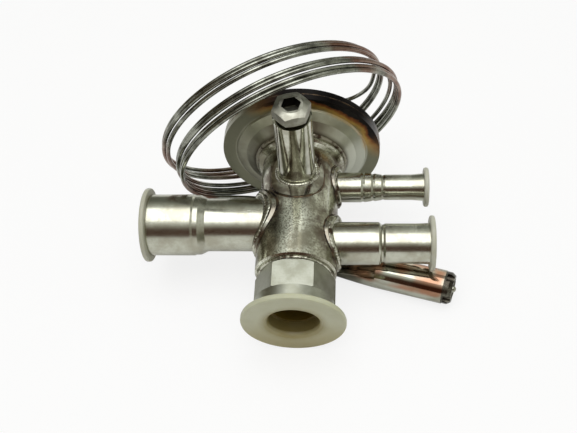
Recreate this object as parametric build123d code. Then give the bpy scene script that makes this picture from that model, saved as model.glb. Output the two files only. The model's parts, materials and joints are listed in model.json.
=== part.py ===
"""Thermostatic expansion valve with solder connections, lying with its transport plugs in.

The valve's own frame has its origin where the outlet axis crosses the body axis:
+X towards the inlet, +Y along the body towards the power element, +Z along the setting spindle.
Every piece of the valve is made there and then laid down on the rim of the power element and
the flange of the port plug. The bulb and the capillary are made where they lie on the surface.
Lengths are in millimetres.
"""
from build123d import *
import math
import os

# ---- driving dimensions -------------------------------------------------------------------

# body
body_od = 22.4
body_bottom = 16.8          # from the outlet axis down to the body's lower end
neck_level = 20.9           # from the outlet axis up to the neck ring
neck_ring_od = 25.8
neck_ring_height = 1.7
spigot_d = 18.0             # register for the power element
spigot_height = 1.6
lower_chamber_d = 14.0
upper_chamber_d = 15.2
spring_chamber_d = 15.2
body_chamfer = 0.5

# walls between the chambers
partition_level = -4.4      # underside of the wall that holds the orifice
partition_thickness = 1.8
guide_level = 5.8           # underside of the wall that guides the push pin
guide_thickness = 1.4

# port fitting with its hexagon and collar
fitting_engagement = 4.8
fitting_spigot_d = 17.1
fitting_neck_length = 0.4
hex_across_flats = 19.0
hex_length = 8.4
hex_chamfer_drop = 1.2
collar_od = 21.4
collar_length = 4.6
collar_chamfer = 0.5
port_bore_d = 16.4
port_step_d = 13.8
port_step_depth = 0.4       # from the body's lower end down to the step

# port screw, strainer, orifice
screw_length = 3.2
screw_key_flats = 6.0
screw_key_depth = 1.8
strainer_od = 11.8
strainer_wall = 0.7
strainer_slot_width = 1.0
strainer_slot_count = 10
strainer_band = 1.3         # plain wall left at each end of the slots
orifice_flange_height = 2.0
orifice_spigot_d = 6.0
orifice_bore_d = 3.8
orifice_lead = 1.0          # height of the 45 degree seat
orifice_spigot_above = 0.4  # how far the spigot stands above its wall

# push pin, cone, thrust pad, spring
pin_d = 2.5
pin_guide_gap = 0.08
cone_gap = 0.15             # radial, between the closed cone and its seat
cone_skirt_height = 2.2
pad_d = 24.0
pad_height = 1.5
pad_boss_d = 11.2
pad_boss_height = 2.0
pin_socket_depth = 1.5
spring_mean_d = 8.8
spring_wire_d = 1.2
spring_turns = 5.0
opening_stroke = 0.8

# spring seat and the setting gear that lifts it
spring_seat_d = 13.2
spring_seat_level = 13.2
spring_seat_height = 3.0
spring_seat_hole_d = 2.9
wedge_gap = 0.2

# power element
element_d = 47.0
rim_level = 26.55           # from the outlet axis to the rim's near face
rim_half_thickness = 1.85
diaphragm_thickness = 0.2
diaphragm_d = 46.4
dish_d = 39.0               # inside the flat rim
cup_wall = 1.2
dish_step = 0.6
dish_shoulder_d = 32.8
dish_shoulder_drop = 1.5
crown_rise = 3.8            # far cup, above its rim
crown_flat_d = 12.0
nipple_d = 6.4
nipple_length = 3.6
capillary_d = 1.3
capillary_hole_gap = 0.06

# tubes
tube_wall = 0.8
outlet_near_od = 15.1
outlet_socket_od = 17.5
outlet_socket_bore = 15.9
outlet_shoulder_start = 25.6
outlet_shoulder_end = 28.0
outlet_length = 42.1
outlet_groove_depth = 0.25
inlet_offset = -6.3
inlet_near_od = 12.0
inlet_near_wall = 0.9
inlet_socket_od = 11.2
inlet_socket_bore = 9.6
inlet_stop_start = 23.0
inlet_stop_end = 24.6
inlet_stop_bore = 8.7
inlet_length = 36.6
inlet_flare = 0.12
equalizer_offset = 13.2
equalizer_near_od = 8.6
equalizer_near_wall = 0.8
equalizer_socket_od = 7.4
equalizer_socket_bore = 6.4
equalizer_stop_start = 18.4
equalizer_stop_end = 24.2
equalizer_stop_bore = 5.6
equalizer_crimp_count = 3
equalizer_length = 35.8
equalizer_flare = 0.3
inlet_crimp_depth = 0.3
inlet_crimp_width = 1.2
equalizer_crimp_depth = 0.18
groove_width = 1.2
lead_in_length = 3.5
lead_in_gain = 0.3          # on the radius, at the mouth
saddle_thickness = 0.7
outlet_saddle_d = 19.8
inlet_saddle_d = 16.0
equalizer_saddle_d = 12.4
spindle_saddle_d = 14.8
spindle_saddle_reach = 1.85 # how far the spindle's saddle runs on towards the port
outlet_port_d = 8.0
outlet_port_shift = 1.6
inlet_port_d = 6.6
inlet_port_shift = -1.6
equalizer_port_d = 4.0

# spindle housing and what turns in it
spindle_offset = 10.9
housing_od = 10.4
housing_bore = 7.2
housing_top = 34.0
gland_length = 1.3
gland_d = 8.2
gland_bore = 6.9
clip_height = 0.8
clip_d = 8.0
clip_groove_d = 6.0
head_flats = 9.0
head_height = 3.6
head_gap = 0.8
head_chamfer = 0.35
head_crown = 0.9            # how far the corners lie below the head's flat top
head_face_d = 6.2
head_turn = 15.0            # degrees, how the hexagon stands at rest
key_flats = 4.6
key_depth = 3.4
stem_d = 6.8
stem_bottom = 17.0
o_ring_level = 28.0
o_ring_section = 1.5
o_ring_squeeze = 0.03
thread_d = 4.0
thread_bottom = 8.6
nut_d = 6.8
nut_top = 13.5
nut_shoulder = 6.0
nut_tip = 4.2
nut_bore_bottom = 7.4
thread_gap = 0.05
lift_travel = 0.5           # of the nut and of the spring seat, each way

# transport plugs
plug_recess_wall = 1.0
plug_floor = 1.1
plug_edge = 0.45
port_plug_flange_d = 28.1
port_plug_flange = 1.6
port_plug_stub = 8.5
port_plug_recess_d = 13.6
port_plug_inner_d = 12.2
port_plug_ledge = 4.4
side_plug_flange = 1.4
side_plug_stub = 3.0
outlet_plug_d = 21.2
inlet_plug_d = 15.6
equalizer_plug_d = 11.4
plug_gap = 0.2              # between a stub and the mouth it closes

# bulb
bulb_d = 9.6
bulb_barrel_length = 19.3
bulb_taper_length = 15.0
bulb_tail_length = 4.5
bulb_tail_width = 4.6
bulb_tail_height = 2.4
bulb_cap_length = 2.6
bulb_cap_recess = 1.4
bulb_cap_d = 9.2
bulb_notch_count = 4
bulb_notch_r = 1.3
bulb_nipple_d = 1.5
bulb_nipple_length = 0.4
bulb_ball_d = 2.1
bulb_yaw = -17.0            # degrees about +Z, from the tail towards the cap
bulb_end = (44.0, -12.87)   # where the middle of the barrel's cap end lies

# coil of the capillary: a hoop of loose turns that stands round the power element
coil_mean_r = 34.1
coil_band = 2.8             # radial thickness of the bundle
coil_front = -2.6           # along the coil's axis, from its front bundle
coil_back = 10.2
coil_rise = 24.0            # degrees, the coil's axis above the surface
coil_swing = 27.0           # degrees, the coil's axis from +Y towards -X
coil_middle = (-1.0, 23.9)
coil_lean = (-1.6, 0.6, -3.0)   # how far the back turns are shifted in their own plane
coil_floor_gap = 0.15

# route of the capillary outside the coil, after its exit and before the bulb
lead_route = [(3.0, 40.6, 25.6), (6.4, 45.4, 25.0), (12.0, 48.4, 22.8), (17.6, 50.2, 22.6), (21.6, 50.6, 24.8)]
tail_route = [(-20.6, 24.0, 6.2), (-16.0, 25.8, 2.6), (-10.2, 26.6, 0.9), (-4.6, 25.4, 0.8), (-1.2, 20.8, 0.8),
              (-1.6, 14.6, 0.8), (-3.0, 8.4, 0.8), (-2.0, 2.8, 0.9), (2.0, -0.4, 1.6)]

# ---- what follows from them ---------------------------------------------------------------

body_r = body_od / 2
saddle_r = body_r + saddle_thickness
hex_top = -body_bottom - fitting_neck_length
collar_top = hex_top - hex_length
port_end = collar_top - collar_length
port_step = -body_bottom - port_step_depth
orifice_bottom = partition_level - orifice_flange_height
seat_top = orifice_bottom + orifice_lead
cup_seat = neck_level + neck_ring_height
rim_middle = rim_level + rim_half_thickness
far_rim = rim_middle + diaphragm_thickness
rim_back = far_rim + rim_half_thickness
pad_top = rim_middle
boss_bottom = pad_top - pad_height - pad_boss_height
head_bottom = housing_top + head_gap
head_top = head_bottom + head_height
cord_r = capillary_d / 2

BODY = Plane((0, 0, 0), x_dir=(1, 0, 0), z_dir=(0, 1, 0))
OUTLET = Plane((0, 0, 0), x_dir=(0, 1, 0), z_dir=(-1, 0, 0))
INLET = Plane((0, inlet_offset, 0), x_dir=(0, 1, 0), z_dir=(1, 0, 0))
EQUALIZER = Plane((0, equalizer_offset, 0), x_dir=(0, 1, 0), z_dir=(1, 0, 0))
SPINDLE = Plane((0, spindle_offset, 0), x_dir=(1, 0, 0), z_dir=(0, 0, 1))


# ---- ways of making things ----------------------------------------------------------------

def turned(profile, plane=None):
    """Revolve a closed (radius, height) profile about Z, then set it along a plane's axis."""
    face = make_face(Plane.XZ * Polyline(*profile, close=True))
    piece = revolve(face, Axis.Z)
    return piece if plane is None else plane.location * piece


def rod(diameter, bottom, top, plane=None):
    """A plain cylinder between two heights."""
    piece = Pos(0, 0, bottom) * Cylinder(diameter / 2, top - bottom,
                                         align=(Align.CENTER, Align.CENTER, Align.MIN))
    return piece if plane is None else plane.location * piece


def hexagon(flats, bottom, top, turn=0.0):
    """A hexagonal prism between two heights, turned about its axis."""
    outline = RegularPolygon(flats / 2, 6, major_radius=False, rotation=turn)
    return extrude(Pos(0, 0, bottom) * outline, top - bottom)


def saddle(plane, diameter, reach=0.0):
    """The curved washer that a weld runs round on the body, longer by a reach along the plane's -Y."""
    outline = Circle(diameter / 2)
    if reach > 0:
        outline = Pos(0, -reach / 2) * SlotCenterToCenter(reach, diameter, rotation=90)
    washer = plane.location * extrude(outline, 2 * body_od)
    shell = rod(2 * saddle_r, -body_od, 2 * body_od, BODY)
    return washer & shell


def rounded_washer(outer_r, inner_r, bottom, top, edge):
    """A profile for a flange whose outer edge is rounded on both sides."""
    middle_sine = math.sin(math.radians(45))
    slack = edge * (1 - middle_sine)
    return [(inner_r, bottom), (outer_r - edge, bottom), (outer_r - slack, bottom + slack),
            (outer_r, bottom + edge), (outer_r, top - edge), (outer_r - slack, top - slack),
            (outer_r - edge, top), (inner_r, top)]


# ---- body and port fitting ----------------------------------------------------------------

def valve_body():
    neck_r = neck_ring_od / 2
    neck_top = neck_level + neck_ring_height
    body = turned([
        (0, -body_bottom), (body_r - body_chamfer, -body_bottom),
        (body_r, -body_bottom + body_chamfer), (body_r, neck_level - 0.6),
        (neck_r - 0.6, neck_level), (neck_r, neck_level + 0.5), (neck_r, neck_top - 0.5),
        (neck_r - 0.4, neck_top), (spigot_d / 2, neck_top),
        (spigot_d / 2, neck_top + spigot_height), (0, neck_top + spigot_height)], BODY)
    guide_top = guide_level + guide_thickness
    partition_top = partition_level + partition_thickness
    fitting_top = -body_bottom + fitting_engagement
    hollows = [
        rod(fitting_spigot_d + 0.1, -body_bottom - 1, fitting_top, BODY),
        rod(lower_chamber_d, fitting_top - 1, partition_level, BODY),
        rod(orifice_spigot_d + 0.1, partition_level - 1, partition_top + 1, BODY),
        rod(upper_chamber_d, partition_top, guide_level, BODY),
        rod(pin_d + 2 * pin_guide_gap, guide_level - 1, guide_top + 1, BODY),
        rod(spring_chamber_d, guide_top, neck_top + spigot_height + 1, BODY),
        Pos(0, outlet_port_shift, 0) * rod(outlet_port_d, 0, body_od, OUTLET),
        Pos(0, inlet_port_shift, 0) * rod(inlet_port_d, 0, body_od, INLET),
        rod(equalizer_port_d, 0, body_od, EQUALIZER),
        rod(housing_bore, 0, body_od, SPINDLE),
    ]
    # each port is drilled from its own side, down to the chamber it serves and no further
    core = rod(lower_chamber_d, -body_bottom, cup_seat, BODY)
    for hollow in hollows[:6]:
        body -= hollow
    for hollow in hollows[6:]:
        body -= hollow - core
    return body


def orifice_port_fitting():
    corner_r = hex_across_flats / math.sqrt(3)
    flat_r = hex_across_flats / 2
    hexagonal = BODY.location * hexagon(hex_across_flats, collar_top, hex_top)
    envelope = turned([(0, collar_top), (corner_r + 0.1, collar_top),
                       (corner_r + 0.1, hex_top - hex_chamfer_drop), (flat_r, hex_top), (0, hex_top)], BODY)
    collar_r = collar_od / 2
    collar = turned([(0, port_end), (collar_r - collar_chamfer, port_end),
                     (collar_r, port_end + collar_chamfer), (collar_r, collar_top), (0, collar_top)], BODY)
    fitting = (hexagonal & envelope) + collar
    fitting += rod(hex_across_flats, hex_top - 0.1, -body_bottom, BODY)
    fitting += rod(fitting_spigot_d, -body_bottom - 0.1, -body_bottom + fitting_engagement, BODY)
    fitting -= rod(port_bore_d, port_end - 1, port_step, BODY)
    fitting -= rod(port_step_d, port_end - 1, 0, BODY)
    return fitting


def port_screw():
    screw = rod(port_bore_d - 0.2, port_step - screw_length, port_step, BODY)
    key = BODY.location * hexagon(screw_key_flats, port_step - screw_length - 1,
                                  port_step - screw_length + screw_key_depth)
    return screw - key


# ---- orifice, strainer, cone --------------------------------------------------------------

def strainer():
    tube = rod(strainer_od, port_step, orifice_bottom, BODY)
    tube -= rod(strainer_od - 2 * strainer_wall, port_step - 1, orifice_bottom + 1, BODY)
    slot_height = (orifice_bottom - port_step - 3 * strainer_band) / 2
    slots = []
    for row in range(2):
        middle = port_step + strainer_band + slot_height / 2 + row * (slot_height + strainer_band)
        for step in range(strainer_slot_count // 2):
            bar = Box(2 * strainer_od, strainer_slot_width, slot_height)
            turn = 360.0 / strainer_slot_count * (step + row / 2)
            slots.append(BODY.location * Pos(0, 0, middle) * Rot(0, 0, turn) * bar)
    for slot in slots:
        tube -= slot
    return tube


def orifice_seat():
    bore_r = orifice_bore_d / 2
    top = partition_level + partition_thickness + orifice_spigot_above
    flange_r = lower_chamber_d / 2 - 0.1
    return turned([
        (bore_r + orifice_lead, orifice_bottom), (flange_r, orifice_bottom), (flange_r, partition_level),
        (orifice_spigot_d / 2, partition_level), (orifice_spigot_d / 2, top), (bore_r, top),
        (bore_r, seat_top)], BODY)


def valve_cone():
    skirt_r = orifice_bore_d / 2 + orifice_lead - cone_gap
    tip_level = seat_top + orifice_bore_d / 2 - cone_gap - pin_d / 2
    return turned([(0, orifice_bottom - cone_skirt_height), (skirt_r, orifice_bottom - cone_skirt_height),
                   (skirt_r, orifice_bottom), (pin_d / 2, tip_level), (0, tip_level)], BODY)


def push_pin():
    tip_level = seat_top + orifice_bore_d / 2 - cone_gap - pin_d / 2
    return rod(pin_d, tip_level, boss_bottom + pin_socket_depth, BODY)


def thrust_pad():
    pad = turned([(0, boss_bottom), (pad_boss_d / 2, boss_bottom), (pad_boss_d / 2, pad_top - pad_height),
                  (pad_d / 2 - 1.0, pad_top - pad_height), (pad_d / 2, pad_top - pad_height + 0.8),
                  (pad_d / 2, pad_top), (0, pad_top)], BODY)
    return pad - rod(pin_d + 0.04, boss_bottom - 1, boss_bottom + pin_socket_depth, BODY)


# ---- superheat setting --------------------------------------------------------------------

def superheat_spring():
    bottom = spring_seat_level + spring_seat_height
    height = boss_bottom - bottom
    wire_r = spring_wire_d / 2
    pitch = (height - 2 * wire_r) / spring_turns
    path = Helix(pitch=pitch, height=height - 2 * wire_r, radius=spring_mean_d / 2)
    start = Plane(origin=path @ 0, z_dir=path % 0)
    coil = sweep(start * Circle(wire_r), path=path, is_frenet=True)
    return BODY.location * Pos(0, 0, bottom + wire_r) * coil


def spring_seat():
    top = spring_seat_level + spring_seat_height
    seat = rod(spring_seat_d, spring_seat_level, top, BODY)
    seat -= rod(spring_seat_hole_d, spring_seat_level - 1, top + 1, BODY)
    # the 45 degree ramp that the nut's nose pushes on, a wedge gap away from it
    nose_zero = nut_shoulder - nut_d / 2
    reach = wedge_gap * math.sqrt(2)
    ramp_start = nose_zero + spring_seat_level - spindle_offset - reach
    ramp_end = nose_zero + top + 1 - spindle_offset - reach
    wedge = make_face(Plane.YZ * Polyline(
        (spring_seat_level, ramp_start), (top + 1, ramp_end), (top + 1, ramp_end + body_od),
        (spring_seat_level - 1, ramp_end + body_od), (spring_seat_level - 1, ramp_start), close=True))
    return seat - extrude(wedge, body_od, both=True)


def setting_nut():
    nut_r = nut_d / 2
    nose_r = nut_tip - (nut_shoulder - nut_r)
    nut = turned([(0, nut_tip), (nose_r, nut_tip), (nut_r, nut_shoulder), (nut_r, nut_top), (0, nut_top)],
                 SPINDLE)
    return nut - rod(thread_d + 2 * thread_gap, nut_bore_bottom, nut_top + 1, SPINDLE)


def setting_spindle():
    groove_bottom = o_ring_level - o_ring_section * 0.6
    groove_top = o_ring_level + o_ring_section * 0.6
    groove_r = housing_bore / 2 - o_ring_section + o_ring_squeeze
    stem_r = stem_d / 2
    clip_top = housing_top - gland_length
    clip_bottom = clip_top - clip_height
    stem = turned([
        (0, thread_bottom), (thread_d / 2, thread_bottom), (thread_d / 2, stem_bottom), (stem_r, stem_bottom),
        (stem_r, groove_bottom), (groove_r, groove_bottom), (groove_r, groove_top), (stem_r, groove_top),
        (stem_r, clip_bottom), (clip_groove_d / 2, clip_bottom), (clip_groove_d / 2, clip_top),
        (stem_r, clip_top), (stem_r, head_bottom + 0.1), (0, head_bottom + 0.1)], SPINDLE)
    corner_r = head_flats / math.sqrt(3)
    flat_r = head_flats / 2
    shape = turned([(0, head_bottom), (flat_r, head_bottom), (corner_r, head_bottom + head_chamfer),
                    (corner_r, head_top - head_crown), (head_face_d / 2, head_top), (0, head_top)])
    head = hexagon(head_flats, head_bottom, head_top, head_turn) & shape
    key = hexagon(key_flats, head_top - key_depth, head_top + 1, head_turn)
    return stem + SPINDLE.location * (head - key) - SPINDLE.location * key


def spindle_o_ring():
    ring_r = housing_bore / 2 - o_ring_section / 2
    section = Pos(ring_r, 0, o_ring_level) * Rot(90, 0, 0) * Circle(o_ring_section / 2 - o_ring_squeeze)
    return SPINDLE.location * revolve(section, Axis.Z)


def spindle_clip():
    top = housing_top - gland_length
    ring = rod(clip_d - 0.2, top - clip_height + 0.05, top - 0.05)
    ring -= rod(clip_groove_d, 0, housing_top)
    gap = Pos(0, -clip_d / 2, top) * Box(1.6, clip_d, 4 * clip_height)
    return SPINDLE.location * (ring - gap)


def spindle_gland():
    ring = rod(gland_d, housing_top - gland_length, housing_top, SPINDLE)
    return ring - rod(gland_bore, 0, head_top, SPINDLE)


def spindle_housing():
    seat_level = housing_top - gland_length - clip_height
    tube = rod(housing_od, 0, housing_top, SPINDLE) + saddle(SPINDLE, spindle_saddle_d, spindle_saddle_reach)
    tube -= rod(body_od, -body_bottom, neck_level, BODY)
    tube -= rod(housing_bore, 0, housing_top + 1, SPINDLE)
    tube -= rod(gland_d + 0.1, seat_level, housing_top + 1, SPINDLE)
    return tube


# ---- power element ------------------------------------------------------------------------

def element_near_cup():
    rim_r, dish_r, shoulder_r = element_d / 2, dish_d / 2, dish_shoulder_d / 2
    hole_r = spigot_d / 2 + 0.05
    shoulder = rim_level - dish_step - dish_shoulder_drop * 0.6
    return turned([
        (hole_r, cup_seat), (neck_ring_od / 2 + 0.4, cup_seat), (shoulder_r, shoulder),
        (dish_r - 0.3, rim_level - dish_step), (dish_r, rim_level), (rim_r, rim_level),
        (rim_r, rim_middle), (dish_r - cup_wall, rim_middle), (dish_r - cup_wall - 0.3, rim_middle - 1.1),
        (shoulder_r - 0.4, shoulder + cup_wall), (neck_ring_od / 2 - 0.1, cup_seat + cup_wall),
        (hole_r, cup_seat + cup_wall)], BODY)


def element_diaphragm():
    return rod(diaphragm_d, rim_middle, far_rim, BODY)


def element_far_cup():
    rim_r, dish_r = element_d / 2, dish_d / 2
    flat_r, nipple_r = crown_flat_d / 2, nipple_d / 2
    hole_r = cord_r + capillary_hole_gap
    crown = rim_back + crown_rise
    tip = crown + nipple_length
    cup = turned([
        (dish_r - cup_wall, far_rim), (rim_r, far_rim), (rim_r, rim_back), (dish_r + 0.4, rim_back),
        (dish_r - 0.2, rim_back + crown_rise * 0.3), (dish_r * 0.7, rim_back + crown_rise * 0.75),
        (flat_r, crown), (nipple_r, crown), (nipple_r, crown + nipple_length * 0.5),
        (nipple_r * 0.7, crown + nipple_length * 0.7), (nipple_r * 0.6, tip), (hole_r, tip),
        (hole_r, crown - cup_wall), (flat_r - 0.2, crown - cup_wall),
        (dish_r * 0.7 - 0.4, rim_back + crown_rise * 0.75 - cup_wall),
        (dish_r - cup_wall - 0.6, rim_back + crown_rise * 0.3 - 0.9)], BODY)
    return cup


# ---- tubes --------------------------------------------------------------------------------

def welded_on(tube, plane, saddle_d, bore_d):
    """Give a tube its saddle, cut both to the body's outside and open the bore through them."""
    piece = tube + saddle(plane, saddle_d)
    piece -= rod(body_od, -body_bottom - 1, cup_seat, BODY)
    return piece - rod(bore_d, 0, saddle_r + 0.1, plane)


def outlet_tube():
    near_r, socket_r, bore_r = outlet_near_od / 2, outlet_socket_od / 2, outlet_socket_bore / 2
    groove = outlet_shoulder_end + groove_width / 2
    near_bore = outlet_near_od - 2 * tube_wall
    stop = outlet_shoulder_end + 0.4
    mouth = outlet_length - lead_in_length
    profile = [
        (near_bore / 2, 0), (near_r, 0), (near_r, outlet_shoulder_start),
        (socket_r - outlet_groove_depth, outlet_shoulder_end - 0.4),
        (socket_r - outlet_groove_depth, groove + 0.3), (socket_r, groove + 0.9), (socket_r, outlet_length),
        (bore_r + lead_in_gain, outlet_length), (bore_r, mouth), (bore_r, stop), (near_bore / 2, stop - 1.2)]
    return welded_on(turned(profile, OUTLET), OUTLET, outlet_saddle_d, near_bore)


def inlet_tube():
    near_r, socket_r, bore_r = inlet_near_od / 2, inlet_socket_od / 2, inlet_socket_bore / 2
    near_bore = inlet_near_od - 2 * inlet_near_wall
    stop_r = inlet_stop_bore / 2
    crimp_end = inlet_stop_start + inlet_crimp_width
    mouth = inlet_length - lead_in_length
    profile = [
        (near_bore / 2, 0), (near_r, 0), (near_r, inlet_stop_start - 0.3), (near_r - 0.2, inlet_stop_start),
        (socket_r - inlet_crimp_depth, inlet_stop_start + 0.5), (socket_r - inlet_crimp_depth, crimp_end - 0.3),
        (socket_r, crimp_end + 0.3), (socket_r, mouth), (socket_r + inlet_flare, inlet_length),
        (bore_r + lead_in_gain, inlet_length), (bore_r, mouth), (bore_r, inlet_stop_end + 0.2),
        (stop_r, inlet_stop_end - 0.2), (stop_r, inlet_stop_start + 0.2), (near_bore / 2, inlet_stop_start - 0.5)]
    return welded_on(turned(profile, INLET), INLET, inlet_saddle_d, near_bore)


def equalizer_tube():
    near_r, socket_r, bore_r = equalizer_near_od / 2, equalizer_socket_od / 2, equalizer_socket_bore / 2
    near_bore = equalizer_near_od - 2 * equalizer_near_wall
    stop_r = equalizer_stop_bore / 2
    mouth = equalizer_length - lead_in_length
    outside = [(near_r, 0)]
    spacing = (equalizer_stop_end - equalizer_stop_start) / (equalizer_crimp_count - 1)
    for crimp in range(equalizer_crimp_count):
        level = equalizer_stop_start + crimp * spacing
        share = crimp / (equalizer_crimp_count - 1)
        land_r = near_r + (socket_r - near_r) * share
        outside += [(land_r + 0.06, level - groove_width / 2), (land_r - equalizer_crimp_depth, level),
                    (land_r, level + groove_width / 2)]
    profile = [(near_bore / 2, 0)] + outside + [
        (socket_r, equalizer_stop_end + groove_width), (socket_r, mouth),
        (socket_r + equalizer_flare, equalizer_length), (bore_r + lead_in_gain, equalizer_length),
        (bore_r, mouth), (bore_r, equalizer_stop_end + 0.6), (stop_r, equalizer_stop_end + 0.2),
        (stop_r, equalizer_stop_start - 0.2), (near_bore / 2, equalizer_stop_start - 0.9)]
    return welded_on(turned(profile, EQUALIZER), EQUALIZER, equalizer_saddle_d, near_bore)


# ---- transport plugs ----------------------------------------------------------------------

def side_plug(plane, flange_d, tube_length, bore_d):
    """A flanged plug whose short taper sits in the lead-in of a tube's mouth."""
    outer_face = tube_length + side_plug_flange
    mouth_r = bore_d / 2 + lead_in_gain - plug_gap
    tip = tube_length - side_plug_stub
    tip_r = mouth_r - lead_in_gain * side_plug_stub / lead_in_length
    recess_r = tip_r - plug_recess_wall
    flange = turned(rounded_washer(flange_d / 2, 0, tube_length, outer_face, plug_edge), plane)
    stub = turned([(0, tip), (tip_r, tip), (mouth_r, tube_length + 0.1), (0, tube_length + 0.1)], plane)
    recess = turned([(0, tip + plug_floor), (recess_r - 0.3, tip + plug_floor), (recess_r, outer_face - 0.8),
                     (recess_r + 0.7, outer_face + 0.1), (0, outer_face + 0.1)], plane)
    return flange + stub - recess


def orifice_port_plug():
    outer_face = port_end - port_plug_flange
    tip = port_end + port_plug_stub
    stub_r = port_bore_d / 2 - plug_gap
    mouth_r, inner_r = port_plug_recess_d / 2, port_plug_inner_d / 2
    ledge = outer_face + port_plug_ledge
    flange = turned(rounded_washer(port_plug_flange_d / 2, 0, outer_face, port_end, plug_edge), BODY)
    stub = turned([(0, port_end - 0.1), (stub_r, port_end - 0.1), (stub_r, tip - 0.6),
                   (stub_r - 0.4, tip), (0, tip)], BODY)
    recess = turned([(0, outer_face - 0.1), (mouth_r + 1.3, outer_face - 0.1), (mouth_r + 0.4, outer_face + 0.5),
                     (mouth_r, outer_face + 1.4), (mouth_r, ledge), (inner_r, ledge + 0.2),
                     (inner_r - 0.2, tip - plug_floor), (0, tip - plug_floor)], BODY)
    return flange + stub - recess


# ---- bulb ---------------------------------------------------------------------------------

BULB = Plane((bulb_end[0], bulb_end[1], bulb_d / 2),
             x_dir=(0, 0, 1),
             z_dir=(math.cos(math.radians(bulb_yaw)), math.sin(math.radians(bulb_yaw)), 0))
tail_drop = bulb_d / 2 - bulb_tail_height / 2 - 0.5


def bulb_shell():
    taper_start = -bulb_barrel_length
    taper_end = taper_start - bulb_taper_length
    tail_end = taper_end - bulb_tail_length
    barrel = rod(bulb_d, taper_start, 0)
    tail_section = Ellipse(bulb_tail_height / 2, bulb_tail_width / 2)
    middle_section = Ellipse(bulb_d * 0.36, bulb_d * 0.42)
    taper = loft([Pos(0, 0, taper_start) * Circle(bulb_d / 2),
                  Pos(-tail_drop * 0.35, 0, taper_start - bulb_taper_length * 0.45) * middle_section,
                  Pos(-tail_drop, 0, taper_end) * tail_section])
    tail = extrude(Pos(-tail_drop, 0, tail_end) * tail_section, bulb_tail_length)
    return BULB.location * (barrel + taper + tail)


def bulb_end_cap():
    cap = turned([(0, 0), (bulb_cap_d / 2, 0), (bulb_cap_d / 2, bulb_cap_length * 0.6),
                  (bulb_cap_d / 2 - 0.7, bulb_cap_length), (bulb_cap_d / 2 - 1.6, bulb_cap_length),
                  (bulb_cap_d / 2 - 2.2, bulb_cap_length - bulb_cap_recess), (0, bulb_cap_length - bulb_cap_recess)])
    notch = Pos(bulb_cap_d / 2, 0, bulb_cap_length / 2 + 0.5) * Cylinder(bulb_notch_r, bulb_cap_length)
    for step in range(bulb_notch_count):
        cap -= Rot(0, 0, 360.0 * step / bulb_notch_count) * notch
    return BULB.location * cap


def bulb_nipple():
    base = bulb_cap_length - bulb_cap_recess
    stem = rod(bulb_nipple_d, base, base + bulb_nipple_length)
    ball = Pos(0, 0, base + bulb_nipple_length + bulb_ball_d * 0.35) * Sphere(bulb_ball_d / 2)
    return BULB.location * (stem + ball)


# ---- capillary ----------------------------------------------------------------------------

def coil_axis():
    rise, swing = math.radians(coil_rise), math.radians(coil_swing)
    return Vector(-math.cos(rise) * math.sin(swing), math.cos(rise) * math.cos(swing), math.sin(rise))


def coil_plane():
    """The plane of the front bundle, high enough for the lowest turn to clear the surface."""
    rise = math.radians(coil_rise)
    outer_r = coil_mean_r + coil_band / 2
    height = outer_r * math.cos(rise) - coil_front * math.sin(rise) + coil_floor_gap
    return Plane((coil_middle[0], coil_middle[1], height), z_dir=coil_axis())


def capillary_coil():
    """The hoop that the loose turns fill, its back shifted as the back turns are."""
    plane = coil_plane()
    ring = Circle(coil_mean_r + coil_band / 2) - Circle(coil_mean_r - coil_band / 2)
    depth = coil_back - coil_front
    lean = Vector(*coil_lean)
    lean -= plane.z_dir * lean.dot(plane.z_dir)
    drift = plane.z_dir * depth + lean
    start = Plane(plane.origin + plane.z_dir * coil_front, x_dir=plane.x_dir, z_dir=plane.z_dir)
    return extrude(start * ring, drift.length, dir=drift.normalized())


def tube_along(points):
    """A plain tube along straight runs joined by the largest arcs that the runs allow."""
    route = [Vector(*point) for point in points]
    radii = []
    for before, here, after in zip(route, route[1:], route[2:]):
        turn = math.radians((here - before).get_angle(after - here))
        shorter = min((here - before).length, (after - here).length)
        radii.append(0.45 * shorter / math.tan(turn / 2))
    path = FilletPolyline(*route, radius=radii)
    start = Plane(origin=path @ 0, z_dir=path % 0)
    tube = sweep(start * Circle(cord_r), path=path)
    expected = math.pi * cord_r ** 2 * path.length
    print("tube", "length %.1f" % path.length, "radii", [round(radius, 1) for radius in radii],
          "volume share %.4f" % (tube.volume / expected))
    return tube


# ---- laying the valve down ----------------------------------------------------------------

plug_front = port_end - port_plug_flange
tilt = math.degrees(math.atan2(element_d / 2 - port_plug_flange_d / 2, rim_level - plug_front))
axis_height = (element_d / 2) * math.cos(math.radians(tilt)) - rim_level * math.sin(math.radians(tilt))

valve = {
    "valve_body": valve_body(),
    "orifice_port_fitting": orifice_port_fitting(),
    "port_screw": port_screw(),
    "strainer": strainer(),
    "orifice_seat": orifice_seat(),
    "valve_cone": valve_cone(),
    "push_pin": push_pin(),
    "thrust_pad": thrust_pad(),
    "superheat_spring": superheat_spring(),
    "spring_seat": spring_seat(),
    "setting_nut": setting_nut(),
    "setting_spindle": setting_spindle(),
    "spindle_o_ring": spindle_o_ring(),
    "spindle_clip": spindle_clip(),
    "spindle_gland": spindle_gland(),
    "spindle_housing": spindle_housing(),
    "element_near_cup": element_near_cup(),
    "element_diaphragm": element_diaphragm(),
    "element_far_cup": element_far_cup(),
    "outlet_tube": outlet_tube(),
    "inlet_tube": inlet_tube(),
    "equalizer_tube": equalizer_tube(),
    "outlet_plug": side_plug(OUTLET, outlet_plug_d, outlet_length, outlet_socket_bore),
    "inlet_plug": side_plug(INLET, inlet_plug_d, inlet_length, inlet_socket_bore),
    "equalizer_plug": side_plug(EQUALIZER, equalizer_plug_d, equalizer_length, equalizer_socket_bore),
    "orifice_port_plug": orifice_port_plug(),
}

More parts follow.
